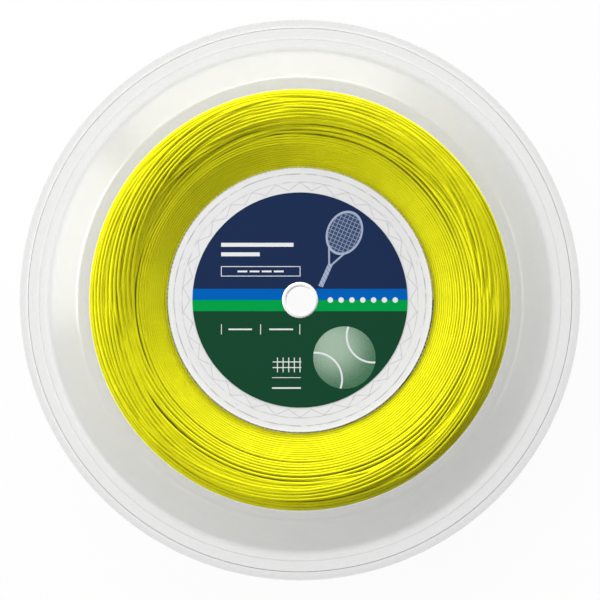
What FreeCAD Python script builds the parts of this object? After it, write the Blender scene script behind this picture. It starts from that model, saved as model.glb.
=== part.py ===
"""String reel: two clear dished shells, a welded hub drum, a paper label and a pack of wound string.

The reel lies flat. Z runs along the bore, the label faces +Z and its top edge faces +Y.
The origin is on the bore's axis, in the plane that the rear shell's crest rests on.
Profiles are drawn as (radius, height), with the height counted from the reel's middle plane.
"""

import FreeCAD
import Part
import math
import os

# Shells
rim_radius = 130.0
wall = 1.0
crest_half = 12.5
crest_radius = 83.5
shoulder_radius = 102.8
shoulder_bend = 5.0
lip_radius = 117.6
lip_half = 1.0
longest_flat = 6.0

# Hub drum and bore
bore_radius = 6.2
boss_radius = 8.4
drum_radius = 61.2
drum_half = 5.5
drum_inner_radius = 50.3
web_half = 1.0
web_rib_count = 8
web_rib_wall = 1.4
web_rib_drop = 0.6
spigot_clearance = 0.15

# Label
label_radius = 49.7
label_thickness = 0.2
label_hole_clearance = 0.1

# String
string_diameter = 1.25
string_sides = 4
seat_gap = 0.3
pack_radius = 97.4
pack_shoulder = 8.4
outer_turns = 6
first_turn_offset = 3.4
least_crest_run = 2.0
corner_cut = 0.2
end_bend = 2.0
start_bend = 2.5
start_tail = 6.0

# Worked out from the sizes above
half_width = crest_half + wall
string_radius = string_diameter / 2
string_depth = seat_gap + string_radius
layer_room = string_diameter + 2 * seat_gap + corner_cut
start_height = web_half + 2 * seat_gap + string_radius
start_angle = 180 / web_rib_count
funnel_slope = (crest_half - drum_half) / (crest_radius - drum_radius)
funnel_angle = math.atan(funnel_slope)

# The outer layer's line: funnel, crest, shoulder and side
shoulder_start = pack_radius - pack_shoulder
crest_limit = shoulder_start - least_crest_run - string_radius
ceiling = min(crest_half, drum_half + (crest_limit - drum_radius) * funnel_slope)
crest_floor = ceiling - layer_room
layer_crest = ceiling - string_depth
funnel_end = drum_radius + (layer_crest - drum_half + string_depth / math.cos(funnel_angle)) / funnel_slope
funnel_run = (funnel_end - drum_radius - first_turn_offset) / math.cos(funnel_angle)
crest_run = shoulder_start - funnel_end
layer_bend = pack_shoulder - string_radius
shoulder_run = layer_bend * math.pi / 2
half_layer = funnel_run + crest_run + shoulder_run + layer_crest - layer_bend

axis = FreeCAD.Vector(0, 0, 1)
origin = FreeCAD.Vector(0, 0, 0)
middle = FreeCAD.Vector(0, 0, half_width)


def eased(before, corner, after, radius):
    """The points that replace a profile's corner with short flats, set on an arc between its two lines."""
    before, corner, after = [FreeCAD.Vector(r, 0, height) for r, height in (before, corner, after)]
    to_before = (before - corner).normalize()
    to_after = (after - corner).normalize()
    half_angle = to_before.getAngle(to_after) / 2
    bisector = (to_before + to_after).normalize()
    centre = corner + bisector * (radius / math.sin(half_angle))
    first = corner + to_before * (radius / math.tan(half_angle)) - centre
    last = corner + to_after * (radius / math.tan(half_angle)) - centre
    sweep = math.pi - 2 * half_angle
    flats = math.ceil(radius * sweep / longest_flat)
    points = []
    for i in range(flats + 1):
        angle = sweep * i / flats
        point = centre + (first * math.sin(sweep - angle) + last * math.sin(angle)) * (1 / math.sin(sweep))
        points.append((point.x, point.z))
    return points


def turned(corners):
    """The solid that a closed profile makes when it turns once round the bore's axis."""
    places = [FreeCAD.Vector(radius, 0, height) for radius, height in corners + corners[:1]]
    solid = Part.Face(Part.makePolygon(places)).revolve(origin, axis, 360)
    solid.translate(middle)
    return solid


def both_sides(corners):
    """A profile's front half, followed by its mirror image in the middle plane."""
    return corners + [(radius, -height) for radius, height in reversed(corners)]


def parallel(corners, distance):
    """Corners of the line that runs beside another at a steady distance, on its left."""
    places = [FreeCAD.Vector(radius, 0, height) for radius, height in corners]
    moved = []
    for i, place in enumerate(places):
        runs = [places[j + 1] - places[j] for j in (i - 1, i) if 0 <= j < len(places) - 1]
        normals = [FreeCAD.Vector(-run.z, 0, run.x).normalize() for run in runs]
        bisector = (normals[0] + normals[-1]).normalize()
        beside = place + bisector * (distance / bisector.dot(normals[0]))
        moved.append((beside.x, beside.z))
    return moved


def shell_line():
    """The inner face of the front shell, from its hole out to its rim."""
    return [
        (boss_radius + spigot_clearance, drum_half),
        (drum_radius, drum_half),
        (crest_radius, crest_half),
        (shoulder_radius, crest_half),
        (lip_radius, lip_half),
        (rim_radius, lip_half),
    ]


def shell():
    """The front shell: hub disc, funnel, flat crest, eased shoulder, falling band and flat lip."""
    inner = shell_line()
    hole, hub, crest, shoulder, lip, rim = parallel(inner, wall)
    outer = [hole, hub, crest] + eased(crest, shoulder, lip, shoulder_bend) + [lip, rim]
    return turned(outer + inner[::-1])


def drum():
    """The hub drum: rim, ribbed web, and the boss that centres the shells and carries the bore."""
    boss_half = drum_half + wall + label_thickness
    front = [
        (bore_radius, boss_half),
        (boss_radius, boss_half),
        (boss_radius, web_half),
        (drum_inner_radius, web_half),
        (drum_inner_radius, drum_half),
        (drum_radius, drum_half),
    ]
    ribs = [web_rib(i * 360 / web_rib_count) for i in range(web_rib_count)]
    body = turned(both_sides(front)).fuse(ribs)
    return body.cut(start_hole()).removeSplitter()


def web_rib(angle):
    """A radial rib that stands on both sides of the web, sunk into the rim and the boss."""
    rib_half = drum_half - web_rib_drop
    inner_end = boss_radius - web_rib_wall / 2
    outer_end = drum_inner_radius + web_rib_wall / 2
    rib = Part.makeBox(outer_end - inner_end, web_rib_wall, 2 * rib_half)
    rib.translate(FreeCAD.Vector(inner_end, -web_rib_wall / 2, half_width - rib_half))
    rib.rotate(origin, axis, angle)
    return rib


def start_hole():
    """The hole through the drum's rim for the string's first end, halfway between two ribs."""
    place = FreeCAD.Vector(drum_inner_radius - seat_gap, 0, half_width + start_height)
    hole = Part.makeCylinder(string_radius + seat_gap, drum_radius, place, FreeCAD.Vector(1, 0, 0))
    hole.rotate(origin, axis, start_angle)
    return hole


def label():
    """The paper disc stuck on the front shell's hub disc."""
    bottom = FreeCAD.Vector(0, 0, half_width + drum_half + wall)
    disc = Part.makeCylinder(label_radius, label_thickness, bottom)
    return disc.cut(Part.makeCylinder(boss_radius + label_hole_clearance, label_thickness, bottom))


def string_core():
    """The inner turns as one body: funnel faces clear of the shells, and eased shoulders for the outer layer."""
    hub = parallel(shell_line()[1:3], -layer_room)[0]
    inner_radius = drum_radius + seat_gap
    outer_radius = pack_radius - string_diameter - seat_gap
    funnel_foot = (inner_radius, hub[1] + (inner_radius - hub[0]) * funnel_slope)
    funnel_top = (hub[0] + (crest_floor - hub[1]) / funnel_slope, crest_floor)
    corner = (outer_radius, crest_floor)
    bend = pack_shoulder - string_diameter - seat_gap
    shoulder = eased(funnel_top, corner, (outer_radius, 0), bend)
    return turned(both_sides([funnel_foot, funnel_top] + shoulder)).cut(end_slots())


def layer_line(distance):
    """Radius, height and their rates at a distance along the outer layer's line, from front to rear."""
    beyond = distance > half_layer
    along = 2 * half_layer - distance if beyond else distance
    still_to_climb = max(funnel_run - along, 0)
    level = min(max(along - funnel_run, 0), crest_run)
    past_crest = max(along - funnel_run - crest_run, 0)
    turned_by = min(past_crest, shoulder_run) / layer_bend
    fall = max(past_crest - shoulder_run, 0)
    tilt = funnel_angle if still_to_climb else -turned_by
    radius = funnel_end - still_to_climb * math.cos(funnel_angle) + level + layer_bend * math.sin(turned_by)
    lowered = still_to_climb * math.sin(funnel_angle) + layer_bend * (1 - math.cos(turned_by)) + fall
    if beyond:
        return radius, lowered - layer_crest, -math.cos(tilt), math.sin(tilt)
    return radius, layer_crest - lowered, math.cos(tilt), math.sin(tilt)


def turn_point(turns):
    """Place and direction of the outer layer's string after a number of turns."""
    pitch = 2 * half_layer / outer_turns
    radius, height, radius_rate, height_rate = layer_line(turns * pitch)
    angle = 2 * math.pi * turns
    outward = FreeCAD.Vector(math.cos(angle), math.sin(angle), 0)
    sideways = FreeCAD.Vector(-math.sin(angle), math.cos(angle), 0)
    advance = pitch / (2 * math.pi)
    direction = sideways * radius + outward * (radius_rate * advance) + axis * (height_rate * advance)
    return middle + outward * radius + axis * height, direction.normalize()


def arc_from(start, direction, end):
    """The arc that leaves a point in a direction and ends at another point."""
    chord = end - start
    across = chord - direction * chord.dot(direction)
    centre = start + across * (chord.dot(chord) / (2 * across.dot(across)))
    outwards = (start + chord * 0.5 - centre).normalize()
    return Part.Arc(start, centre + outwards * (start - centre).Length, end).toShape()


def biarc(start, start_direction, end, end_direction):
    """Two arcs that join two points smoothly, each leaving in its own direction."""
    chord = end - start
    both = start_direction + end_direction
    bend = 2 * (1 - start_direction.dot(end_direction))
    reach = (math.sqrt(chord.dot(both) ** 2 + bend * chord.dot(chord)) - chord.dot(both)) / bend
    joint = (start + start_direction * reach + end - end_direction * reach) * 0.5
    last = arc_from(end, -end_direction, joint)
    return [arc_from(start, start_direction, joint), last]


def dive(place, direction, inward):
    """Straight end, and the bend that leads from it to a place where the string runs level."""
    foot = place - direction * end_bend + inward * end_bend
    tip = foot + inward * string_diameter
    bend = arc_from(place, -direction, foot)
    return tip, [Part.LineSegment(tip, foot).toShape(), bend]


def layer_path():
    """The outer layer's whole line: a straight end, its turns in quarter-turn biarcs, a straight end."""
    stops = [turn_point(i / 4) for i in range(4 * outer_turns + 1)]
    tip, first_end = dive(*stops[0], -axis)
    last_place, last_direction = stops[-1]
    last_end = dive(last_place, -last_direction, axis)[1]
    edges = first_end
    for (start, start_direction), (end, end_direction) in zip(stops, stops[1:]):
        edges += biarc(start, start_direction, end, end_direction)
    edges += last_end[::-1]
    return tip, Part.Wire(Part.__sortEdges__(edges))


def end_slots():
    """The two slots in the core that the outer layer's ends go down into."""
    slots = []
    for turns, inward in ((0, -axis), (outer_turns, axis)):
        place, direction = turn_point(turns)
        if turns:
            direction = -direction
        length = end_bend + string_radius + seat_gap
        width = string_diameter + 2 * seat_gap
        depth = end_bend + string_diameter + seat_gap
        slot = Part.makeBox(length, width, depth, FreeCAD.Vector(-length, -width / 2, -depth))
        if inward.z > 0:
            slot = slot.mirror(origin, axis)
        slot.rotate(origin, axis, math.degrees(math.atan2(direction.y, direction.x)))
        slot.translate(place)
        slots.append(slot)
    return slots


def string_section(place, direction):
    """The string's faceted section, square to the way that it runs."""
    turn = FreeCAD.Rotation(axis, direction)
    corners = []
    for i in range(string_sides + 1):
        angle = 2 * math.pi * i / string_sides
        corners.append(FreeCAD.Vector(math.cos(angle), math.sin(angle), 0) * string_radius)
    return Part.makePolygon([place + turn.multVec(corner) for corner in corners])


def outer_layer():
    """The outer turns as one unbroken string."""
    tip, path = layer_path()
    print("least gap between outer turns, mm:", round(least_gap(), 2))
    return path.makePipeShell([string_section(tip, axis)], True, False)


def least_gap():
    """The least gap between the string's surface on one turn and on the next, measured on points."""
    per_turn = 24
    points = [turn_point(i / per_turn)[0] for i in range(outer_turns * per_turn + 1)]
    gaps = []
    for i, point in enumerate(points):
        later = points[i + per_turn // 2:i + 2 * per_turn]
        gaps += [point.distanceToPoint(other) - string_diameter for other in later]
    return min(gaps)


def string_start():
    """The string's first end, through the drum's rim and turned over inside it."""
    outer_end = FreeCAD.Vector(drum_radius + seat_gap, 0, half_width + start_height)
    bend_start = FreeCAD.Vector(drum_inner_radius - seat_gap - start_bend, 0, outer_end.z)
    tail_start = bend_start + FreeCAD.Vector(-start_bend, start_bend, 0)
    tail_end = tail_start + FreeCAD.Vector(0, start_tail, 0)
    run = Part.LineSegment(outer_end, bend_start).toShape()
    bend = arc_from(bend_start, FreeCAD.Vector(-1, 0, 0), tail_start)
    tail = Part.LineSegment(tail_start, tail_end).toShape()
    section = string_section(outer_end, FreeCAD.Vector(-1, 0, 0))
    string = Part.Wire([run, bend, tail]).makePipeShell([section], True, False)
    string.rotate(origin, axis, start_angle)
    return string


def build():
    """Every piece of the reel under its name."""
    front = shell()
    return {
        "front_shell": front,
        "rear_shell": front.mirror(middle, axis),
        "hub_drum": drum(),
        "front_label": label(),
        "string_core": string_core(),
        "string_outer_turns": outer_layer(),
        "string_start": string_start(),
    }


def main():
    os.makedirs("parts", exist_ok=True)
    for name, solid in build().items():
        solid.exportStep("parts/" + name + ".step")
        print(name, "valid", solid.isValid(), "volume", round(solid.Volume), "mm3")


main()
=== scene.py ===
# %% [markdown]
# # A string reel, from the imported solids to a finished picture
# The reel is two clear dished shells on one welded drum, with a paper label and a full pack of
# yellow string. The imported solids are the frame: each new piece is built in the same place.

# %% Load the frame
import math
import random

import bmesh
import bpy
from mathutils import Matrix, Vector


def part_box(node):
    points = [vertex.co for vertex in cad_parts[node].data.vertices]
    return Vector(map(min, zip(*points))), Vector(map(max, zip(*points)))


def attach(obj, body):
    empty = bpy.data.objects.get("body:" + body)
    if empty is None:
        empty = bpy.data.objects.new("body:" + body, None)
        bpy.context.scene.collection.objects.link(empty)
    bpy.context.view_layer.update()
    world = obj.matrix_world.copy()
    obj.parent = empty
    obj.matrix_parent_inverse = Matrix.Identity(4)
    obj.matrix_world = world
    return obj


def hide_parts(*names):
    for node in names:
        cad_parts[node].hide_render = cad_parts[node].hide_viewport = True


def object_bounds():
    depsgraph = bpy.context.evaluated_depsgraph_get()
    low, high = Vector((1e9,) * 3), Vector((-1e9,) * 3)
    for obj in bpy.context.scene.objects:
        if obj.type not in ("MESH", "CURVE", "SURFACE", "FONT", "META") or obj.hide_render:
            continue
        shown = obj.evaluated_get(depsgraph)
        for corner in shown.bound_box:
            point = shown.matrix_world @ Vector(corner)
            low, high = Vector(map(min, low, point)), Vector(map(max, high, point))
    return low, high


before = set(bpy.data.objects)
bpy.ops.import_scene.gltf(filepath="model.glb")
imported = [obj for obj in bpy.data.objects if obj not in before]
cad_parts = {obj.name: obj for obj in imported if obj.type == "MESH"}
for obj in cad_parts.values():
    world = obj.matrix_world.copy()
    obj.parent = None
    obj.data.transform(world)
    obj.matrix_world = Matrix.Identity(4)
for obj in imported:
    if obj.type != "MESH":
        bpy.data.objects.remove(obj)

MM = 0.001
TURN = 2 * math.pi
cad_low, cad_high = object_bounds()
print("nodes:", sorted(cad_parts))
print("box in mm:", [round(v / MM, 2) for v in (*cad_low, *cad_high)])

# %% [markdown]
# ## Measures
# A reel is the same all round and the same on both sides, so two numbers place any point: its
# radius from the bore's axis and its height above the middle plane. The main ones are read from
# the solids' boxes, so that the pieces follow them. The rest are the reel's own wall, bends and
# string, in millimetres.

# %% Read the main measures from the solids
middle = (cad_low.z + cad_high.z) / 2 / MM
rim_radius = cad_high.x / MM
crest_height = cad_high.z / MM - middle
lip_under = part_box("front_shell")[0].z / MM - middle
drum_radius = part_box("hub_drum")[1].x / MM
boss_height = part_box("hub_drum")[1].z / MM - middle
label_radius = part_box("front_label")[1].x / MM
label_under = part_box("front_label")[0].z / MM - middle
label_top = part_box("front_label")[1].z / MM - middle
pack_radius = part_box("string_outer_turns")[1].x / MM

wall = 1.0
disc_height = label_under
disc_under = disc_height - wall
bore_radius = 6.2
boss_radius = 8.4
fit_gap = 0.15
crest_radius = 83.4
string_diameter = 1.25
string_radius = string_diameter / 2
print("middle", middle, "rim", rim_radius, "crest", crest_height, "drum", drum_radius, "pack", pack_radius)

# %% [markdown]
# ## Camera
# The photograph looks straight down the bore, with the label's top edge at the top, and the rim
# is a true circle. A long lens far away keeps it so. The frame is square, and the rim takes
# 560.5 of its 600 pixels, which gives the width that the camera has to see.

# %% Place the camera on the bore's axis
picture_side = 600
rim_in_picture = 560.5
seen_width = 2 * rim_radius * picture_side / rim_in_picture
camera_data = bpy.data.cameras.new("reel_camera")
camera_data.lens = 200
camera_data.sensor_width = 36
camera = bpy.data.objects.new("reel_camera", camera_data)
camera_distance = seen_width * camera_data.lens / camera_data.sensor_width
camera.location = (0, 0, (middle + camera_distance) * MM)
camera_data.clip_start = 0.1
camera_data.clip_end = 10
bpy.context.scene.collection.objects.link(camera)
bpy.context.scene.camera = camera
bpy.context.scene.view_settings.view_transform = "Standard"
print("camera", round(camera_distance), "mm above the middle plane, sees", round(seen_width, 1), "mm")

# %% [markdown]
# ## Shader sums
# Node trees are easier to read as sums. Wire holds one socket: a sum on it adds a Math node, and
# node() adds any other node, with its settings first and then what goes into its sockets.


# %% A wire is one socket of a node tree
class Wire:
    """A socket. Sums on it add Math nodes, and node() adds any other node."""

    def __init__(self, tree, socket=None):
        self.tree = tree
        self.socket = socket

    def node(self, kind, settings=None, inputs=None, out=0):
        made = self.tree.nodes.new(kind)
        for name, value in (settings or {}).items():
            if name == "stops":
                ramp = made.color_ramp
                while len(ramp.elements) < len(value):
                    ramp.elements.new(1.0)
                for element, (place, colour) in zip(ramp.elements, value):
                    element.position = place
                    element.color = colour
            else:
                setattr(made, name, value)
        for name, value in (inputs or {}).items():
            if isinstance(value, Wire):
                self.tree.links.new(value.socket, made.inputs[name])
            else:
                made.inputs[name].default_value = value
        return Wire(self.tree, made.outputs[out] if made.outputs else None)

    def sum(self, operation, *values):
        return self.node("ShaderNodeMath", {"operation": operation}, dict(enumerate(values)))

    def __add__(self, other):
        return self.sum("ADD", self, other)

    def __sub__(self, other):
        return self.sum("SUBTRACT", self, other)

    def __rsub__(self, other):
        return self.sum("SUBTRACT", other, self)

    def __mul__(self, other):
        return self.sum("MULTIPLY", self, other)

    def __truediv__(self, other):
        return self.sum("DIVIDE", self, other)

    def __rtruediv__(self, other):
        return self.sum("DIVIDE", other, self)

    def __pow__(self, other):
        return self.sum("POWER", self, other)

    __radd__ = __add__
    __rmul__ = __mul__

    def step(self, start, end):
        """0 before start and 1 after end, with a soft change between."""
        inputs = {"Value": self, "From Min": start, "From Max": end}
        return self.node("ShaderNodeMapRange", {"interpolation_type": "SMOOTHSTEP"}, inputs)

    def band(self, start, end, soft):
        """1 between start and end."""
        return self.step(start - soft, start + soft) * (1 - self.step(end - soft, end + soft))

    def tint(self, first, second):
        """The first colour at 0 and the second at 1. A colour is a wire or three numbers."""
        colours = [c if isinstance(c, Wire) else (*c, 1.0) for c in (first, second)]
        inputs = {0: self, 6: colours[0], 7: colours[1]}
        return self.node("ShaderNodeMix", {"data_type": "RGBA"}, inputs, 2)

    def flat_place(self):
        """x and y of a vector, in millimetres."""
        axes = self.node("ShaderNodeSeparateXYZ", None, {0: self}).socket.node.outputs
        return [Wire(self.tree, axes[name]) * (1 / MM) for name in ("X", "Y")]


def new_finish(name):
    """An empty material and a wire that starts its tree."""
    finish = bpy.data.materials.new(name)
    finish.use_nodes = True
    finish.node_tree.nodes.clear()
    return finish, Wire(finish.node_tree)


def close_finish(tree, **inputs):
    """Joins the values to one Principled shader, and that to the output."""
    named = {key.replace("_", " "): value for key, value in inputs.items()}
    shader = tree.node("ShaderNodeBsdfPrincipled", None, named)
    tree.node("ShaderNodeOutputMaterial", None, {"Surface": shader})


def object_spot(tree):
    """Object coordinates, which stay with the piece."""
    return tree.node("ShaderNodeTexCoord", None, None, 3)


print("shader sums ready")

# %% [markdown]
# ## Light, background and floor
# In the photograph soft light comes from the top and the left, low enough that the slope of the
# string under it goes dark. Two low lamps, at the upper right and at the left, light the slopes
# that the large ones pass over. A weak one at the right lifts what faces it, a thin one at the
# reel's own height lights the pack's outer edge at the bottom, and a dim strip shows only as a
# line along the shell's crease. The background is pure white. The white is made by what the
# camera, a mirror or clear plastic sees, and so it reaches the reel only as a reflection. The
# floor keeps a faint shadow.

# %% The soft lamps
lamps = {
    "upper_key": {"bearing": 100, "rise": 20, "distance": 1.5, "width": 1.9, "height": 0.7, "power": 27},
    "left_key": {"bearing": 165, "rise": 24, "distance": 1.5, "width": 1.0, "height": 0.7, "power": 18},
    "low_right": {"bearing": 60, "rise": 9, "distance": 1.5, "width": 0.9, "height": 0.35, "power": 20},
    "low_left": {"bearing": 202, "rise": 9, "distance": 1.5, "width": 0.9, "height": 0.35, "power": 11.5},
    "far_fill": {"bearing": 0, "rise": 38, "distance": 1.5, "width": 1.2, "height": 0.7, "power": 3},
    "low_edge": {"bearing": 290, "rise": 2, "distance": 1.5, "width": 0.9, "height": 0.06, "power": 3.5},
    "high_strip": {"bearing": 200, "rise": 50, "distance": 0.9, "width": 1.1, "height": 0.08, "power": 1.0},
}
for name, place in lamps.items():
    bearing, rise = math.radians(place["bearing"]), math.radians(place["rise"])
    lamp_data = bpy.data.lights.new(name, "AREA")
    lamp_data.shape = "RECTANGLE"
    lamp_data.size = place["width"]
    lamp_data.size_y = place["height"]
    lamp_data.energy = place["power"]
    lamp = bpy.data.objects.new(name, lamp_data)
    reach = place["distance"] * math.cos(rise)
    lamp.location = (
        reach * math.cos(bearing), reach * math.sin(bearing), place["distance"] * math.sin(rise)
    )
    lamp.rotation_euler = (math.pi / 2 - rise, 0, bearing + math.pi / 2)
    bpy.context.scene.collection.objects.link(lamp)

fill_level = 0.05
world = bpy.data.worlds.new("white_room")
world.use_nodes = True
world.node_tree.nodes.clear()
room = Wire(world.node_tree)


def seen_as_white(tree):
    """1 on a ray from the camera, a mirror or clear plastic."""
    rays = tree.node("ShaderNodeLightPath").socket.node.outputs
    seen = [Wire(tree.tree, rays[name]) for name in ("Is Camera Ray", "Is Glossy Ray", "Is Transmission Ray")]
    total = seen[0] + seen[1] + seen[2]
    return total.sum("MINIMUM", total, 1.0)


room_light = room.node(
    "ShaderNodeBackground", None, {"Strength": fill_level + seen_as_white(room) * (1 - fill_level)}
)
room.node("ShaderNodeOutputWorld", None, {"Surface": room_light})
bpy.context.scene.world = world
print("lamps of", [place["power"] for place in lamps.values()], "W and a fill of", fill_level)

# %% White floor that keeps a faint shadow
floor_reach = 4.0
floor_gap = 0.05
floor_grey = 0.85
floor_white_share = 0.95
floor_form = bmesh.new()
bmesh.ops.create_grid(floor_form, x_segments=4, y_segments=4, size=floor_reach)
bmesh.ops.translate(floor_form, verts=floor_form.verts, vec=(0, 0, cad_low.z - floor_gap * MM))
floor_mesh = bpy.data.meshes.new("floor")
floor_form.to_mesh(floor_mesh)
floor_form.free()
floor = bpy.data.objects.new("floor", floor_mesh)
bpy.context.scene.collection.objects.link(floor)
floor_finish, tree = new_finish("white_floor")
paint = tree.node("ShaderNodeBsdfDiffuse", None, {"Color": (floor_grey, floor_grey, floor_grey, 1)})
glow = tree.node("ShaderNodeEmission", None, {"Color": (1, 1, 1, 1), "Strength": 1.0})
whiteness = seen_as_white(tree) * floor_white_share
blend = tree.node("ShaderNodeMixShader", None, {0: whiteness, 1: paint, 2: glow})
tree.node("ShaderNodeOutputMaterial", None, {"Surface": blend})
floor_mesh.materials.append(floor_finish)
print("floor at", round(cad_low.z / MM, 2), "mm")

# %% [markdown]
# ## Round pieces
# Every moulded piece of the reel is turned: its cut through the axis, spun once round. chain()
# lays that cut as a line of vertices, soften() rounds chosen corners with a vertex bevel, and
# spin_round() spins it and joins the seam.

# %% Helpers for turned pieces
round_steps = 240


def chain(form, corners, closed=False):
    """A line of vertices through (radius, height) corners, in millimetres."""
    verts = [form.verts.new((r * MM, 0, (h + middle) * MM)) for r, h in corners]
    ends = verts + verts[:1] if closed else verts
    for pair in zip(ends, ends[1:]):
        form.edges.new(pair)
    return verts


def soften(form, vert, reach, segments=5):
    """Rounds one corner of a chain. The arc starts reach before the corner."""
    bmesh.ops.bevel(
        form, geom=[vert], offset=reach * MM, offset_type="OFFSET", segments=segments,
        profile=0.5, affect="VERTICES", material=-1,
    )


def spin_round(form, steps=round_steps):
    """Spins what the form holds once round the bore's axis."""
    bmesh.ops.spin(
        form, geom=form.verts[:] + form.edges[:], axis=(0, 0, 1), cent=(0, 0, 0),
        angle=TURN, steps=steps, use_merge=True,
    )
    bmesh.ops.remove_doubles(form, verts=form.verts, dist=0.000001)
    bmesh.ops.recalc_face_normals(form, faces=form.faces)


def keep_piece(form, name, finish, slot, *nodes, sharp=35):
    """Makes the form a mesh with crisp corners, and an object that stands for the named solids."""
    mesh = bpy.data.meshes.new(name)
    form.to_mesh(mesh)
    form.free()
    mesh.shade_smooth()
    mesh.set_sharp_from_angle(angle=math.radians(sharp))
    keep_mesh(mesh, name, finish, slot, *nodes)


def keep_mesh(mesh, name, finish, slot, *nodes):
    """Makes a finished mesh an object, with its finish, body and solids. The slot is not used."""
    mesh.materials.clear()
    mesh.materials.append(finish)
    piece = bpy.data.objects.new(name, mesh)
    bpy.context.scene.collection.objects.link(piece)
    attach(piece, "root")
    if nodes:
        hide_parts(*nodes)
    triangles = sum(len(face.vertices) - 2 for face in mesh.polygons)
    print(name, triangles, "triangles")


print("turning helpers ready")

# %% [markdown]
# ## Clear shell finish
# The shells are clear moulded plastic, about a millimetre thick. Over the string they are as good
# as invisible, and outside it they read as a smooth grey veil that the light turns white. Real
# glass-like transmission would hold back the lamp, so the shell is mixed instead: a share of
# each face is plastic and the rest lets the eye through. The share is the haze, by radius, and
# the mirror part, which grows at a glancing angle. The disc over the drum is frosted: two clear
# faces with only a little haze would shade the white ring below, and a frosted one is as bright
# as the ring is in the photograph.

# %% Clear shell
ring_inner = 50.3
zigzag_count = 30
zigzag_inner, zigzag_outer = 50.7, 54.2
crease_radius = 102.6


def thin_line(wire, place, half_width):
    """1 within half_width of a place, with soft edges."""
    away = (wire - place).sum("ABSOLUTE", wire - place)
    return 1 - away.step(half_width * 0.6, half_width * 1.4)


shell_finish, tree = new_finish("clear_shell")
spot = object_spot(tree)
x, y = spot.flat_place()
radius = (x * x + y * y) ** 0.5
side_on = tree.node("ShaderNodeLayerWeight", None, {"Blend": 0.5}, 1)
cloud = tree.node("ShaderNodeTexNoise", None, {"Vector": spot, "Scale": 30.0, "Detail": 3.0})
clear_haze = 0.001
band_haze = 0.17
lip_haze = 0.072
rim_haze = 0.03
drum_haze = 0.8
lip_start, lip_full = 115.5, 119.5
rim_start, rim_full = 126.0, 129.5
outside_pack = radius.step(pack_radius - 0.9, pack_radius + 0.3)
inside_drum_edge = 1 - radius.step(drum_radius - 0.5, drum_radius)
over_drum = inside_drum_edge * radius.step(ring_inner - 1.2, ring_inner - 0.6)
on_lip = radius.step(lip_start, lip_full)
haze = clear_haze + outside_pack * (band_haze - clear_haze) + on_lip * (lip_haze - band_haze)
haze = haze + over_drum * (drum_haze - clear_haze) + radius.step(rim_start, rim_full) * rim_haze
haze = haze * (0.96 + cloud * 0.08)

# %% Weld marks and painted shade in the shell over the drum
streaks_round = 11.0
streaks_out = 1.7
speck_count = 190
inner_weld, outer_weld = 54.5, 58.2
round_x, round_y = x / radius, y / radius
streak_place = tree.node(
    "ShaderNodeCombineXYZ", None,
    {0: round_x * streaks_round, 1: round_y * streaks_round, 2: radius * streaks_out},
)
streak = tree.node("ShaderNodeTexNoise", None, {"Vector": streak_place, "Scale": 1.0, "Detail": 4.0})
turn = tree.sum("ARCTAN2", y, x)
saw = turn * (zigzag_count / TURN)
zigzag_place = zigzag_inner + saw.sum("PINGPONG", saw, 0.5) * (2 * (zigzag_outer - zigzag_inner))
# The thin zigzag lines over the drum's ribs are painted shade: darker lines that stand for the shade along
# the relief below.
zigzag_shade_line = thin_line(radius - zigzag_place, 0.0, 0.26)
speck = turn * (speck_count / TURN)
specks = thin_line(radius, drum_radius + 0.25, 0.3) * speck.sum("PINGPONG", speck, 0.5).step(0.16, 0.3)
# The two rings over the drum's weld grooves are painted shade as well.
groove_shade_rings = thin_line(radius, inner_weld, 0.22) * 0.6 + thin_line(radius, outer_weld, 0.25) * 0.9
# The marks join these painted shade lines with the weld streaks and a dotted darker ring at the drum's edge.
# They darken the veil and thicken the haze.
weld_marks_and_shade = zigzag_shade_line * (0.3 + streak * 0.4) * over_drum
weld_marks_and_shade = weld_marks_and_shade + groove_shade_rings * streak.step(0.35, 0.55) + specks * streak.step(0.4, 0.5)
weld_marks_and_shade = weld_marks_and_shade + streak.step(0.57, 0.74) * over_drum * 0.35
weld_marks_and_shade = weld_marks_and_shade.sum("MINIMUM", weld_marks_and_shade, 1.0)
haze = haze + weld_marks_and_shade * (0.3 - haze * 0.3)
print("zigzag of", zigzag_count, "ribs and", speck_count, "specks round the drum")

# %% The two parts of the shell
face_mirror = 0.003
band_mirror = 0.016
crease_mirror = 0.05
drum_mirror = 0.02
glancing_mirror = 0.9
on_crease = radius.band(crease_radius - 0.4, crease_radius + 0.6, 0.5)
mirror = face_mirror + outside_pack * band_mirror + on_crease * crease_mirror
mirror = mirror + over_drum * drum_mirror + side_on**5.0 * glancing_mirror
cover = mirror + haze * (1 - mirror)
clear_tone, band_tone, lip_tone = (0.99, 0.99, 0.99), (0.40, 0.40, 0.40), (0.45, 0.45, 0.45)
# The grey of the weld marks and of the painted shade lines over the ribs and grooves.
mark_and_shade_tone = (0.5, 0.5, 0.51)
veil = (outside_pack - on_lip).tint(clear_tone, band_tone)
veil = on_lip.tint(veil, lip_tone)
veil = weld_marks_and_shade.tint(veil, mark_and_shade_tone)
close_finish(
    tree, Base_Color=(mirror / cover).tint(veil, (1.0, 1.0, 1.0)), Metallic=mirror / cover,
    Roughness=0.18 + cloud * 0.1, Alpha=cover,
)
print("clear shell finish ready")

# %% [markdown]
# ## The two shells
# Each shell is one moulding: a flat disc over the hub, a funnel up to the crest, a domed band, a
# sharp crease, a slope down to the pinched rim, and two low steps on the lip. The outer line is
# drawn, its corners are rounded, it is spun, and solidify gives the wall. The rear shell is the
# same form mirrored in the middle plane.

# %% The shells
lip_top = lip_under + wall
step_fall = 0.28
corner_turn = 1.2
lip_zone = 120.0
shell_edge = 0.3
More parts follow.
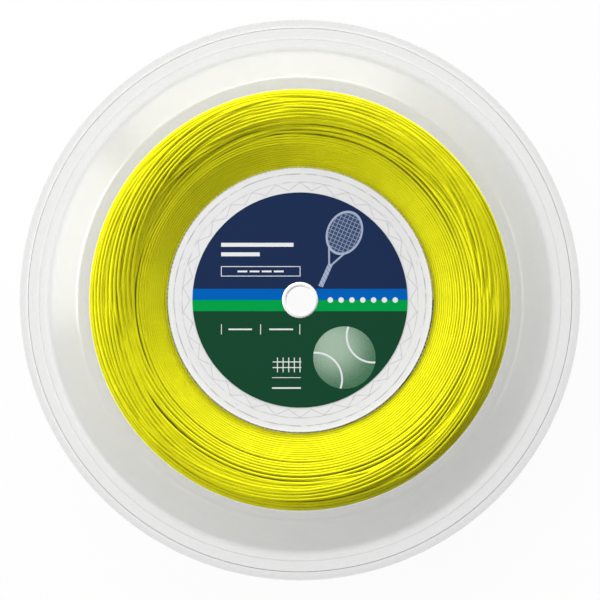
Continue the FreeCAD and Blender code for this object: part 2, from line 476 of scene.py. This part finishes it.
# radius, height and how far before the corner its rounding starts
shell_line = [
    (boss_radius + fit_gap, disc_height, 0),
    (drum_radius - 0.15, disc_height, 1.2),
    (crest_radius, crest_height, 3.0),
    (crease_radius - 6.6, crest_height, 3.0),
    (crease_radius, crest_height - 1.75, 1.0),
    (117.6, lip_top + 2 * step_fall, 4.0),
    (121.5, lip_top + 2 * step_fall, 0.2),
    (121.8, lip_top + step_fall, 0.2),
    (126.5, lip_top + step_fall, 0.2),
    (126.8, lip_top, 0.2),
    (rim_radius, lip_top, 0),
]


def shell_form(mirrored):
    """One shell, drawn, rounded, spun, given its wall and eased at the rim."""
    form = bmesh.new()
    corners = chain(form, [(r, h) for r, h, reach in shell_line])
    for corner, (r, h, reach) in zip(corners, shell_line):
        if reach:
            soften(form, corner, reach, 8 if reach > 1 else 4)
    spin_round(form)
    lowest = min(form.faces, key=lambda face: face.calc_center_median().length)
    if lowest.normal.z < 0:
        bmesh.ops.reverse_faces(form, faces=form.faces)
    bmesh.ops.solidify(form, geom=form.faces[:], thickness=wall * MM)
    rims = [
        edge for edge in form.edges
        if edge.is_manifold and edge.calc_face_angle() > corner_turn
        and edge.verts[0].co.xy.length > lip_zone * MM
    ]
    bmesh.ops.bevel(
        form, geom=rims, offset=shell_edge * MM, offset_type="OFFSET", segments=3, profile=0.5,
        affect="EDGES", material=-1,
    )
    if mirrored:
        bmesh.ops.scale(form, vec=(1, 1, -1), verts=form.verts)
        bmesh.ops.translate(form, vec=(0, 0, 2 * middle * MM), verts=form.verts)
        bmesh.ops.reverse_faces(form, faces=form.faces)
    return form


keep_piece(shell_form(False), "front_dish", shell_finish, "clear_shell", "front_shell")
keep_piece(shell_form(True), "rear_dish", shell_finish, "clear_shell", "rear_shell")

# %% [markdown]
# ## Drum finish
# The drum is milky moulded plastic: nearly white, a little uneven where the weld ran, with a soft
# sheen.

# %% Natural plastic
drum_finish, tree = new_finish("natural_plastic")
spot = object_spot(tree)
cloud = tree.node("ShaderNodeTexNoise", None, {"Vector": spot, "Scale": 260.0, "Detail": 4.0})
flow = tree.node("ShaderNodeTexNoise", None, {"Vector": spot, "Scale": 45.0, "Detail": 2.0})
pale = cloud.step(0.35, 0.65).tint((0.92, 0.925, 0.92), (0.97, 0.97, 0.965))
grain = cloud * 0.6 + flow * 0.4
dents = tree.node("ShaderNodeBump", None, {"Strength": 0.25, "Distance": 0.0004, "Height": grain})
close_finish(tree, Base_Color=pale, Roughness=0.35 + flow * 0.2, Normal=dents)
print("drum finish ready")

# %% [markdown]
# ## The drum
# Its cut is an H: a boss with the bore, a web, and a ring that carries the string. Each face of
# the ring has two weld grooves and a low bead between them. The cut is a closed loop, so the
# spin makes a closed solid. Eight spokes stiffen the web on both sides.

# %% The drum
web_half = 1.0


def drum_loop():
    """The drum's cut as (radius, height) corners, with the lower half mirrored from the upper."""
    ring_face = [
        (drum_radius, disc_under - 0.5), (drum_radius - 0.4, disc_under - 0.05),
        (58.5, disc_under - 0.05), (58.3, disc_under - 0.55),
        (58.0, disc_under - 0.55), (57.8, disc_under - 0.05),
        (55.9, disc_under - 0.05), (55.6, disc_under), (55.1, disc_under), (54.8, disc_under - 0.25),
        (54.5, disc_under - 0.6), (54.2, disc_under - 0.6), (54.0, disc_under - 0.2),
        (ring_inner + 0.3, disc_under - 0.2), (ring_inner, disc_under - 0.5),
    ]
    hub_face = [
        (ring_inner, web_half), (boss_radius, web_half), (boss_radius, boss_height - 0.3),
        (boss_radius - 0.3, boss_height), (bore_radius + 0.3, boss_height), (bore_radius, boss_height - 0.3),
    ]
    upper = ring_face + hub_face
    lower = [(r, -h) for r, h in reversed(upper)]
    return upper + lower


drum_form = bmesh.new()
chain(drum_form, drum_loop(), closed=True)
spin_round(drum_form)
keep_piece(drum_form, "welded_drum", drum_finish, "natural_drum", "hub_drum", sharp=50)

# %% Spokes on both sides of the web
spoke_count = 8
spoke_wall = 1.4
spoke_half = 4.9
spoke_seat = 0.4
spoke_form = bmesh.new()
spoke = bmesh.ops.create_cube(spoke_form, size=1.0)["verts"]
spoke_length = ring_inner - boss_radius + spoke_seat
bmesh.ops.scale(spoke_form, vec=(spoke_length * MM, spoke_wall * MM, 2 * spoke_half * MM), verts=spoke)
bmesh.ops.bevel(
    spoke_form, geom=spoke_form.edges[:], offset=0.2 * MM, offset_type="OFFSET", segments=2,
    profile=0.5, affect="EDGES", material=-1,
)
spoke_middle = (ring_inner + boss_radius) / 2
bmesh.ops.translate(spoke_form, vec=(spoke_middle * MM, 0, middle * MM), verts=spoke_form.verts)
bmesh.ops.spin(
    spoke_form, geom=spoke_form.verts[:] + spoke_form.edges[:] + spoke_form.faces[:], axis=(0, 0, 1),
    cent=(0, 0, 0), angle=TURN, steps=spoke_count, use_duplicate=True,
)
bmesh.ops.remove_doubles(spoke_form, verts=spoke_form.verts, dist=0.000001)
keep_piece(spoke_form, "drum_spokes", drum_finish, "natural_drum")

# %% [markdown]
# ## Weld marks on the drum's ring
# Under the disc the inner third of the ring shows a fine zigzag of welded ribs. One rib is a
# stretched cube, turned a little and spun round as copies.

# %% Zigzag ribs
rib_width = 0.28
rib_height = 0.2


def zigzag_rib(form):
    """One rib with eased edges, lying along X."""
    made = bmesh.ops.create_cube(form, size=1.0)["verts"]
    length = math.hypot(zigzag_outer - zigzag_inner, zigzag_inner * TURN / zigzag_count / 2)
    bmesh.ops.scale(form, vec=(length * MM, rib_width * MM, rib_height * MM), verts=made)
    edges = list({edge for vert in made for edge in vert.link_edges})
    bmesh.ops.bevel(
        form, geom=edges, offset=0.07 * MM, offset_type="OFFSET", segments=1, profile=0.5,
        affect="EDGES", material=-1,
    )


zigzag_form = bmesh.new()
for lean in (-1, 1):
    rib = bmesh.new()
    zigzag_rib(rib)
    tilt = lean * math.atan2(ring_inner * TURN / zigzag_count / 2, zigzag_outer - zigzag_inner)
    bmesh.ops.rotate(rib, cent=(0, 0, 0), matrix=Matrix.Rotation(tilt, 3, "Z"), verts=rib.verts)
    middle_radius = (zigzag_inner + zigzag_outer) / 2
    bmesh.ops.translate(rib, vec=(middle_radius * MM, 0, (middle + disc_under - 0.2) * MM), verts=rib.verts)
    shift = lean * TURN / zigzag_count / 4
    bmesh.ops.rotate(rib, cent=(0, 0, 0), matrix=Matrix.Rotation(shift, 3, "Z"), verts=rib.verts)
    bmesh.ops.spin(
        rib, geom=rib.verts[:] + rib.edges[:] + rib.faces[:], axis=(0, 0, 1), cent=(0, 0, 0),
        angle=TURN, steps=zigzag_count, use_duplicate=True,
    )
    bmesh.ops.remove_doubles(rib, verts=rib.verts, dist=0.000001)
    spare = bpy.data.meshes.new("spare")
    rib.to_mesh(spare)
    rib.free()
    zigzag_form.from_mesh(spare)
    bpy.data.meshes.remove(spare)
keep_piece(zigzag_form, "weld_zigzag", drum_finish, "natural_drum")

# %% [markdown]
# ## Label finish
# A coated paper disc, dark blue above and dark green below, with a blue and a green stripe
# through the middle. Its print is a plain design of its own: a racket, a ball, a patch of string
# bed, a frame, bars and dots. Each shape is a sum of bands in millimetres on the paper, so its
# edges stay sharp at any size.

# %% Shapes to print
ink_edge = 0.07


def bar(x, y, left, right, low, high):
    """1 inside an upright box."""
    return x.band(left, right, ink_edge) * y.band(low, high, ink_edge)


def frame_line(x, y, left, right, low, high, line):
    """1 on the outline of an upright box."""
    inside = bar(x, y, left + line, right - line, low + line, high - line)
    return bar(x, y, left, right, low, high) * (1 - inside)


def rows(wire, pitch, line):
    """1 on lines at every pitch."""
    away = wire.sum("PINGPONG", wire, pitch / 2)
    return 1 - away.step(line / 2 - ink_edge, line / 2 + ink_edge)


def either(*shapes):
    """1 where any of the shapes is."""
    made = shapes[0]
    for shape in shapes[1:]:
        made = made.sum("MAXIMUM", made, shape)
    return made


def away_from(x, y, centre_x, centre_y):
    """The distance from a point, as a wire."""
    return ((x - centre_x) * (x - centre_x) + (y - centre_y) * (y - centre_y)) ** 0.5


# %% A racket and a ball
def racket(x, y):
    """(its lines, its string bed, the area inside its hoop)"""
    centre_x, centre_y, lean_angle = 20.5, 31.0, math.radians(24)
    half_width, half_height, hoop = 8.2, 10.6, 0.11
    across = (x - centre_x) * math.cos(lean_angle) - (y - centre_y) * math.sin(lean_angle)
    up = (x - centre_x) * math.sin(lean_angle) + (y - centre_y) * math.cos(lean_angle)
    share = ((across / half_width) * (across / half_width) + (up / half_height) * (up / half_height)) ** 0.5
    outline = share.band(1.0 - hoop, 1.0, 0.008)
    inside = 1 - share.step(0.985 - hoop, 1.0 - hoop)
    bed = inside * either(rows(across + 0.9, 1.8, 0.24), rows(up + 0.9, 1.8, 0.24))
    side = across.sum("ABSOLUTE", across)
    throat_low, throat_high, grip_low = -half_height - 5.5, -half_height + 1.6, -half_height - 16.5
    spread = 0.5 + (up - throat_low) * 0.46
    throat = thin_line(side - spread, 0.0, 0.42) * up.band(throat_low, throat_high, ink_edge)
    throat = throat * share.step(0.97, 1.0)
    wrap = rows(up + across * 0.6, 1.9, 0.3)
    grip = bar(across, up, -1.1, 1.1, grip_low, throat_low + 0.4) * (1 - wrap * 0.6)
    return either(outline, throat, grip), bed, inside


def ball(x, y):
    """(its round area, its seam, its shade from 0 to 1)"""
    centre_x, centre_y, ball_radius, seam_radius, seam_away = 20.5, -26.6, 14.4, 12.3, 16.7
    away = away_from(x, y, centre_x, centre_y)
    area = 1 - away.step(ball_radius - ink_edge, ball_radius + ink_edge)
    seams = []
    for side in (-1, 1):
        seam_x = centre_x + side * seam_away * 0.8
        seam_y = centre_y + side * seam_away * 0.6
        seams.append(thin_line(away_from(x, y, seam_x, seam_y), seam_radius, 0.42))
    shade = away_from(x, y, centre_x - 4.5, centre_y + 5.5).step(3.0, 21.0)
    return area, area * either(*seams), shade


# %% Small marks
def line_work(x, y):
    """Bars, dashes, a frame and a patch of string bed, each as left, right, low and high."""
    title = either(bar(x, y, -36.4, -3.0, 24.6, 26.4), bar(x, y, -36.4, -18.6, 20.2, 22.0))
    box = frame_line(x, y, -36.5, 0.2, 10.9, 15.6, 0.32)
    box_dash = bar(x, y, -29.4, -7.0, 12.8, 13.6) * (1 - rows(x + 1.4, 5.6, 1.1))
    posts = rows(x + 0.1, 18.1, 0.34) * bar(x, y, -37.0, 1.0, -15.9, -11.2)
    post_dash = bar(x, y, -33.0, -3.2, -13.9, -13.2) * (1 - bar(x, y, -22.2, -14.2, -15.0, -12.0))
    patch = either(rows(x, 2.6, 0.42), rows(y, 2.6, 0.42)) * bar(x, y, -12.6, 0.6, -33.4, -26.6)
    footer = either(bar(x, y, -12.9, 0.4, -36.0, -35.7), bar(x, y, -12.9, 0.4, -41.0, -40.3))
    return either(title, box, box_dash, posts, post_dash, patch, footer)


def dots(x, y):
    """A row of dots over the two stripes."""
    first, last, pitch, dot_radius = 14.0, 44.0, 5.0, 1.25
    step_x = x - first + pitch / 2
    near = step_x - step_x.sum("SNAP", step_x, pitch) - pitch / 2
    away = (near * near + y * y) ** 0.5
    round_dots = 1 - away.step(dot_radius - ink_edge, dot_radius + ink_edge)
    return round_dots * x.band(first - 2, last + 2, ink_edge)


# %% Printed paper
label_finish, tree = new_finish("printed_label")
spot = object_spot(tree)
x, y = spot.flat_place()
stripe = 5.15
navy = (0.0116, 0.0262, 0.0802)
blue = (0.0, 0.1170, 0.4793)
green = (0.0, 0.3419, 0.0612)
forest = (0.0070, 0.0578, 0.0252)
pale_blue = (0.40, 0.47, 0.62)
pale_green = (0.44, 0.58, 0.46)
white_ink = (0.82, 0.83, 0.84)
bed_shade = (0.07, 0.11, 0.22)
felt_shade = (0.06, 0.17, 0.09)
fibre = tree.node("ShaderNodeTexNoise", None, {"Vector": spot, "Scale": 900.0, "Detail": 2.0})
felt = tree.node("ShaderNodeTexNoise", None, {"Vector": spot, "Scale": 1400.0, "Detail": 3.0})
racket_lines, racket_bed, racket_inside = racket(x, y)
ball_area, ball_seam, ball_shade = ball(x, y)

printed = y.step(stripe - ink_edge, stripe + ink_edge).tint(blue, navy)
printed = (racket_inside * 0.55).tint(printed, bed_shade)
printed = (racket_bed * 0.8).tint(printed, pale_blue)
printed = (racket_lines * 0.95).tint(printed, pale_blue)
printed = (1 - y.step(-ink_edge, ink_edge)).tint(printed, green)
printed = (1 - y.step(-stripe - ink_edge, -stripe + ink_edge)).tint(printed, forest)
felt_tone = (ball_shade * 0.8 + felt * 0.35).tint(pale_green, felt_shade)
printed = ball_area.tint(printed, felt_tone)
printed = ball_seam.tint(printed, white_ink)
printed = either(line_work(x, y), dots(x, y)).tint(printed, white_ink)
dents = tree.node("ShaderNodeBump", None, {"Strength": 0.1, "Distance": 0.0001, "Height": fibre})
close_finish(tree, Base_Color=printed, Roughness=0.42 + fibre * 0.1, Normal=dents, Specular_IOR_Level=0.06)
print("label finish ready")

# %% The label
label_form = bmesh.new()
hole_radius = boss_radius + 0.1
paper_share = 0.6
paper = (label_top - label_under) * paper_share
chain(
    label_form,
    [
        (hole_radius, label_under), (label_radius, label_under),
        (label_radius, label_under + paper), (hole_radius, label_under + paper),
    ],
    closed=True,
)
spin_round(label_form)
keep_piece(label_form, "round_label", label_finish, "label_paper", "front_label")

# %% [markdown]
# ## String finish
# Polyester racket string is smooth and extruded, bright greenish yellow, with a satin surface.
# One noise serves for all that varies on it: a slight change of colour and gloss, and a faint
# unevenness that keeps the highlights from being ruled lines.

# %% Yellow string
string_finish, tree = new_finish("yellow_string")
spot = object_spot(tree)
cloud = tree.node("ShaderNodeTexNoise", None, {"Vector": spot, "Scale": 120.0, "Detail": 2.0})
deep_yellow, light_yellow = (0.81, 0.79, 0.002), (0.87, 0.85, 0.004)
yellow = cloud.step(0.3, 0.7).tint(deep_yellow, light_yellow)
dents = tree.node("ShaderNodeBump", None, {"Strength": 0.1, "Distance": 0.0002, "Height": cloud})
close_finish(
    tree, Base_Color=yellow, Roughness=0.42 + cloud * 0.08, Normal=dents, Specular_IOR_Level=0.05,
)
print("string finish ready")

# %% [markdown]
# ## The wound pack
# The pack's face follows the shell: up the funnel, over the crest and round the shoulder to the
# outside. pack_place() walks along that line and gives radius and height, and which way is out.

# %% The pack's line
shoulder_bend = 4.0
first_turn_gap = 0.05
funnel_rise = (crest_height - disc_height) / (crest_radius - drum_radius + 0.15)
lean = math.atan(funnel_rise)
shell_clearance = 0.25
upper_depth = shell_clearance + string_radius
ride_height = 1.2
main_depth = upper_depth + ride_height


def pack_line(depth):
    """Corners of the front half of the pack's line, depth below the shell."""
    start = drum_radius + string_radius + first_turn_gap
    flat_height = crest_height - wall - depth
    start_height = disc_under + (start - drum_radius) * funnel_rise - depth / math.cos(lean)
    flat_start = start + (flat_height - start_height) / funnel_rise
    outside = pack_radius - string_radius
    return start, start_height, flat_start, flat_height, outside


def pack_place(along, depth):
    """(radius, height, outward radius, outward height) at a distance along the line from the drum."""
    start, start_height, flat_start, flat_height, outside = pack_line(depth)
    sign = 1
    half = pack_length(depth) / 2
    if along > half:
        along, sign = 2 * half - along, -1
    slope = math.hypot(flat_start - start, flat_height - start_height)
    flat = outside - shoulder_bend - flat_start
    arc = shoulder_bend * math.pi / 2
    if along < slope:
        share = along / slope
        spot = (start + (flat_start - start) * share, start_height + (flat_height - start_height) * share)
        out = (-math.sin(lean), math.cos(lean))
    elif along < slope + flat:
        spot = (flat_start + along - slope, flat_height)
        out = (0.0, 1.0)
    elif along < slope + flat + arc:
        angle = (along - slope - flat) / shoulder_bend
        spot = (
            outside - shoulder_bend + shoulder_bend * math.sin(angle),
            flat_height - shoulder_bend + shoulder_bend * math.cos(angle),
        )
        out = (math.sin(angle), math.cos(angle))
    else:
        spot = (outside, flat_height - shoulder_bend - (along - slope - flat - arc))
        out = (1.0, 0.0)
    return spot[0], sign * spot[1], out[0], sign * out[1]


def pack_length(depth):
    """The whole line's length, from the drum over the outside and back to the drum."""
    start, start_height, flat_start, flat_height, outside = pack_line(depth)
    slope = math.hypot(flat_start - start, flat_height - start_height)
    return 2 * (
        slope + outside - shoulder_bend - flat_start + shoulder_bend * math.pi / 2
        + flat_height - shoulder_bend
    )


print("pack line", [round(v, 2) for v in pack_line(main_depth)], "length", round(pack_length(main_depth), 1))

# %% [markdown]
# ## Turns of string
# Real turns wander: they bunch, part and cross. Each turn follows the pack's line with a seeded
# drift that its neighbours share, and partings push the turns on both sides of them away.

# %% Wind one layer
points_per_turn = 120
parting_fade = 4.0


def shared_waves(draw, height):
    """Slow waves round the reel that change little from one turn to the next."""
    rates = (1, 1, 2, 2, 3, 4, 5, 7)
    return [
        (height * draw.uniform(0.4, 1.0) / rate**0.5, rate + draw.uniform(-0.08, 0.08), draw.uniform(0, TURN))
        for rate in rates
    ]


def own_waves(draw, height):
    """Waves that don't close on themselves, so that each turn differs from its neighbour."""
    rates = (0.43, 1.37, 2.61, 3.44, 5.58)
    return [(height * draw.uniform(0.5, 1.0), rate, draw.uniform(0, TURN)) for rate in rates]


def drift(waves, angle):
    """The waves' sum at an angle."""
    return sum(size * math.sin(rate * angle + start) for size, rate, start in waves)


def parting_push(partings, angle, along, pitch):
    """How far partings move a turn along the pack's line."""
    push = 0.0
    for place, bearing, reach, width in partings:
        away = angle - bearing - round((angle - bearing) / TURN) * TURN
        if abs(away) < reach:
            side = along - away / TURN * pitch - place
            fade = math.exp(-abs(side) / parting_fade) * math.cos(away / reach * math.pi / 2) ** 2
            push += math.copysign(width / 2, side) * fade
    return push


def string_mesh(name, lines):
    """A round string through each line of points, as one mesh."""
    curve = bpy.data.curves.new(name, "CURVE")
    curve.dimensions = "3D"
    curve.bevel_depth = string_radius * MM
    curve.bevel_resolution = 2
    curve.use_fill_caps = True
    for line in lines:
        spline = curve.splines.new("POLY")
        spline.points.add(len(line) - 1)
        for point, (px, py, pz) in zip(spline.points, line):
            point.co = (px * MM, py * MM, (pz + middle) * MM, 1)
    wound = bpy.data.objects.new(name, curve)
    mesh = bpy.data.meshes.new_from_object(wound)
    bpy.data.objects.remove(wound)
    bpy.data.curves.remove(curve)
    mesh.shade_smooth()
    return mesh


def turned_point(angle, along, depth, lift=0.0):
    """A point of the string in x, y and height, lifted off its layer."""
    radius, height, out_radius, out_height = pack_place(along, depth)
    radius += out_radius * lift
    height += out_height * lift
    return radius * math.cos(angle), radius * math.sin(angle), height


def smooth(value):
    """0 to 1 with a soft start and end."""
    value = min(1.0, max(0.0, value))
    return value * value * (3 - 2 * value)


tight_bearing = math.radians(290)
settled_reach = 11.0
settled_extra = 8.0
settled_fade = 7.0


def tight_side(angle):
    """1 at the lower right, where the turns lie tight further out, and 0 opposite."""
    return smooth(0.5 + 0.9 * math.cos(angle - tight_bearing))


def settle(along, angle):
    """How much higher the turns lie near the drum, where none ride over them."""
    from_drum = min(along, 2 * half_length - along)
    past = from_drum - settled_reach - settled_extra * tight_side(angle)
    return ride_height * (1 - smooth(past / settled_fade))


def wind(start, end, pitch_at, depth, seed, partings, loose=1.0):
    """One unbroken string from start to end along the pack's line."""
    draw = random.Random(seed)
    sideways = shared_waves(draw, 0.2 * loose)
    apart = own_waves(draw, 0.07 * loose)
    upward = own_waves(draw, 0.05 * loose)
    line = []
    along, angle = start, 0.0
    while along < end:
        pitch = pitch_at(along)
        edge = min(1.0, (along - start) / 2, (end - along) / 2)
        freedom = looseness(along)
        moved = drift(sideways, angle) + freedom * drift(apart, angle)
        moved += parting_push(partings, angle, along, pitch)
        lift = settle(along, angle) + edge * freedom * drift(upward, angle)
        line.append(turned_point(angle, max(0.0, along + edge * moved), depth, lift))
        along += pitch / points_per_turn
        angle += TURN / points_per_turn
    return line


half_length = pack_length(main_depth) / 2
least_looseness = 0.15
tight_pitch = 0.94
added_pitch = 0.56
side_pitch = 1.3


def looseness(along):
    """Turns lie tight and even in the funnel and looser towards the shoulder."""
    share = min(1.0, max(0.0, (min(along, 2 * half_length - along) - 8.0) / 12.0))
    return least_looseness + (1 - least_looseness) * share


def face_pitch(along):
    """The distance from turn to turn on the pack's faces."""
    return tight_pitch + added_pitch * looseness(along)


def flat_pitch(along):
    """The distance from turn to turn on the outside and in the lower layer."""
    return side_pitch


def keep_string(name, lines, node):
    """Lines of points as one yellow piece that stands for a solid."""
    keep_mesh(string_mesh(name, lines), name, string_finish, "yellow_string", node)


face_end = half_length - 4.0
draw = random.Random(7)


def some_partings(draw, count):
    """Random partings: place along the line, bearing and reach in radians, width of the gap."""
    return [
        (
            draw.uniform(13.0, face_end - 5.0), draw.uniform(0, TURN),
            draw.uniform(0.4, 1.1), draw.uniform(0.4, 0.9),
        )
        for number in range(count)
    ]


# place along the line, bearing and reach in degrees, width of the gap
chosen_partings = [
    (15.4, 140, 34, 1.3),
    (18.6, 134, 34, 1.3),
    (21.8, 142, 30, 1.2),
    (24.6, 128, 26, 1.1),
    (21.7, 90, 20, 1.1),
    (29.6, 66, 22, 1.0),
    (25.5, 28, 30, 1.1),
    (30.9, 10, 20, 1.0),
    (26.6, 350, 22, 1.1),
    (24.0, 330, 18, 1.4),
    (26.0, 196, 20, 1.1),
    (15.4, 198, 18, 1.0),
    (20.7, 224, 18, 1.1),
    (29.4, 184, 18, 1.2),
]
front_partings = [
    (place, math.radians(bearing), math.radians(reach), width)
    for place, bearing, reach, width in chosen_partings
]
front_line = wind(
    0.0, face_end, face_pitch, main_depth, 11, front_partings + some_partings(draw, 26)
)
keep_string("front_turns", [front_line], "string_outer_turns")

# %% The outside and the rear face
outside_line = wind(face_end, 2 * half_length - face_end, flat_pitch, main_depth, 12, [], 0.5)
keep_string("outside_turns", [outside_line], "string_outer_turns")
rear_partings = [(2 * half_length - place, *rest) for place, *rest in some_partings(draw, 20)]
rear_line = wind(2 * half_length - face_end, 2 * half_length, face_pitch, main_depth, 13, rear_partings)
keep_string("rear_turns", [rear_line], "string_outer_turns")

# %% [markdown]
# ## Turns that cross
# Fans of turns ride over the others. The strands of a fan lie apart at one end, close up as they
# run clockwise, and tuck back under at both ends. The ones below are half sunk between the
# turns, the ones above lie free.

# %% Riding fans
tucked_depth = -1.3 * string_diameter
edge_lift = 0.3


def riding_line(bearing, span, first, last, level):
    """One strand from first to last along the pack's line, while it runs clockwise through span."""
    steps = max(10, int(span / TURN * points_per_turn))
    line = []
    for step in range(steps + 1):
        share = step / steps
        raised = smooth(share / 0.2) * smooth((1 - share) / 0.2)
        along = first + (last - first) * smooth(share)
        over_edge = smooth((along - shoulder_start) / 3.0)
        lift = tucked_depth + (level * ride_height - tucked_depth) * raised
        lift = lift + (min(lift, edge_lift) - lift) * over_edge
        line.append(turned_point(bearing - span * share, along, main_depth, lift))
    return line


def fan(draw, bearing, span, first, first_gap, last, last_gap, count, level):
    """The strands of one fan, each starting and ending a little apart from its neighbour."""
    lines = []
    for number in range(count):
        early, late = draw.uniform(0, 12), draw.uniform(0, 12)
        lines.append(
            riding_line(
                math.radians(bearing + early), math.radians(span + early + late),
                first + number * first_gap + draw.uniform(-0.12, 0.12),
                last + number * last_gap + draw.uniform(-0.08, 0.08), level,
            )
        )
    return lines


flat_height = pack_line(main_depth)[3]
shoulder_start = half_length - shoulder_bend * math.pi / 2 - (flat_height - shoulder_bend)
# bearing, span, first place and gap, last place and gap, strands, level
chosen_fans = [
    (196, 100, 15.0, 2.1, 27.5, 1.35, 6, 1.0),
    (176, 74, 13.5, 1.5, 20.5, 1.3, 4, 0.45),
    (212, 80, 24.5, 1.9, 29.5, 1.3, 3, 0.45),
    (150, 60, 11.5, 1.45, 15.5, 1.3, 3, 0.45),
    (128, 74, 20.0, 1.6, 23.5, 1.4, 4, 0.45),
    (98, 64, 25.5, 1.5, 24.0, 1.6, 3, 1.0),
    (64, 66, 27.5, 1.45, 21.0, 1.9, 4, 1.0),
    (40, 84, 20.5, 1.7, 25.0, 1.4, 4, 0.45),
    (8, 70, 25.5, 1.6, 29.5, 1.3, 4, 1.0),
    (335, 60, 28.5, 1.5, 22.0, 1.8, 3, 0.45),
    (318, 72, 23.5, 1.8, 28.5, 1.3, 4, 1.0),
    (276, 66, 26.5, 1.6, 30.0, 1.3, 3, 1.0),
    (254, 70, 24.0, 1.6, 20.5, 1.5, 3, 0.45),
    (238, 60, 28.0, 1.4, 25.0, 1.6, 3, 1.0),
]


def chance_fans(draw, count):
    """Small fans at random places between the chosen ones."""
    fans = []
    for number in range(count):
        bearing = draw.uniform(0, 360)
        span = draw.uniform(50, 105)
        inner = 14.0 + 9.0 * tight_side(math.radians(bearing - span / 2))
        first = draw.uniform(inner, 30.0)
        last = min(31.5, max(inner, first + draw.choice((-1, 1, 1)) * draw.uniform(1.0, 4.0)))
        gaps = draw.uniform(1.3, 1.7), draw.uniform(1.3, 1.5)
        strands, level = draw.choice((1, 2, 2, 3)), draw.choice((0.4, 0.7))
        fans.append((bearing, span, first, gaps[0], last, gaps[1], strands, level))
    return fans


draw = random.Random(21)
front_riders = [line for place in chosen_fans + chance_fans(draw, 26) for line in fan(draw, *place)]
keep_string("crossing_turns", front_riders, "string_outer_turns")


def turned_over(line):
    """The same line on the rear face."""
    return [(px, py, -pz) for px, py, pz in line]


rear_riders = [turned_over(line) for place in chance_fans(draw, 26) for line in fan(draw, *place)]
keep_string("rear_crossing_turns", rear_riders, "string_outer_turns")

# %% [markdown]
# ## The turns below
# Where two turns part, the eye sees the layer under them. A second layer lies there, deeper than
# on a real reel so that the gaps read dark, and under that the core fills the pack.

# %% The layer below and the core
below_depth = main_depth + 1.9
below_inset = 0.6
below_line = wind(
    below_inset, pack_length(below_depth) - below_inset, flat_pitch, below_depth, 31, []
)
keep_string("lower_turns", [below_line], "string_core")
core_depth = below_depth + 0.6
core_reach = 9.0
core_steps = 40
core_form = bmesh.new()
core_length = pack_length(core_depth)
core_corners = []
for count in range(core_steps + 1):
    along = core_length * count / core_steps
    corner_radius, corner_height, out_radius, out_height = pack_place(along, core_depth)
    raise_by = ride_height * (1 - smooth((min(along, core_length - along) - core_reach) / settled_fade))
    core_corners.append((corner_radius + out_radius * raise_by, corner_height + out_height * raise_by))
chain(core_form, core_corners, closed=True)
spin_round(core_form, 180)
keep_piece(core_form, "inner_pack", string_finish, "yellow_string", "string_core")

# %% [markdown]
# ## The start of the string
# The first end goes through a hole in the drum and turns over inside.

# %% The start of the string
tail_bearing = math.radians(22.5)
tail_over_floor = 15.73
tail_height = tail_over_floor - middle
tail_bend = 2.5
tail_turn = 47.5
bend_steps = 6
# distance from the bore's axis along the tail's bearing, and distance across it
tail_side = [(62.2, 0.0), (57.0, 0.0), (52.0, 0.0), (tail_turn, 0.0)]
for step in range(1, bend_steps + 1):
    angle = step * math.pi / 2 / bend_steps
    tail_side.append((tail_turn - tail_bend * math.sin(angle), tail_bend * (1 - math.cos(angle))))
tail_side += [(tail_turn - tail_bend, 5.5), (tail_turn - tail_bend, 8.5)]
tail = []
for radial, across in tail_side:
    tail.append((
        radial * math.cos(tail_bearing) - across * math.sin(tail_bearing),
        radial * math.sin(tail_bearing) + across * math.cos(tail_bearing), tail_height,
    ))
keep_string("tucked_start", [tail], "string_start")
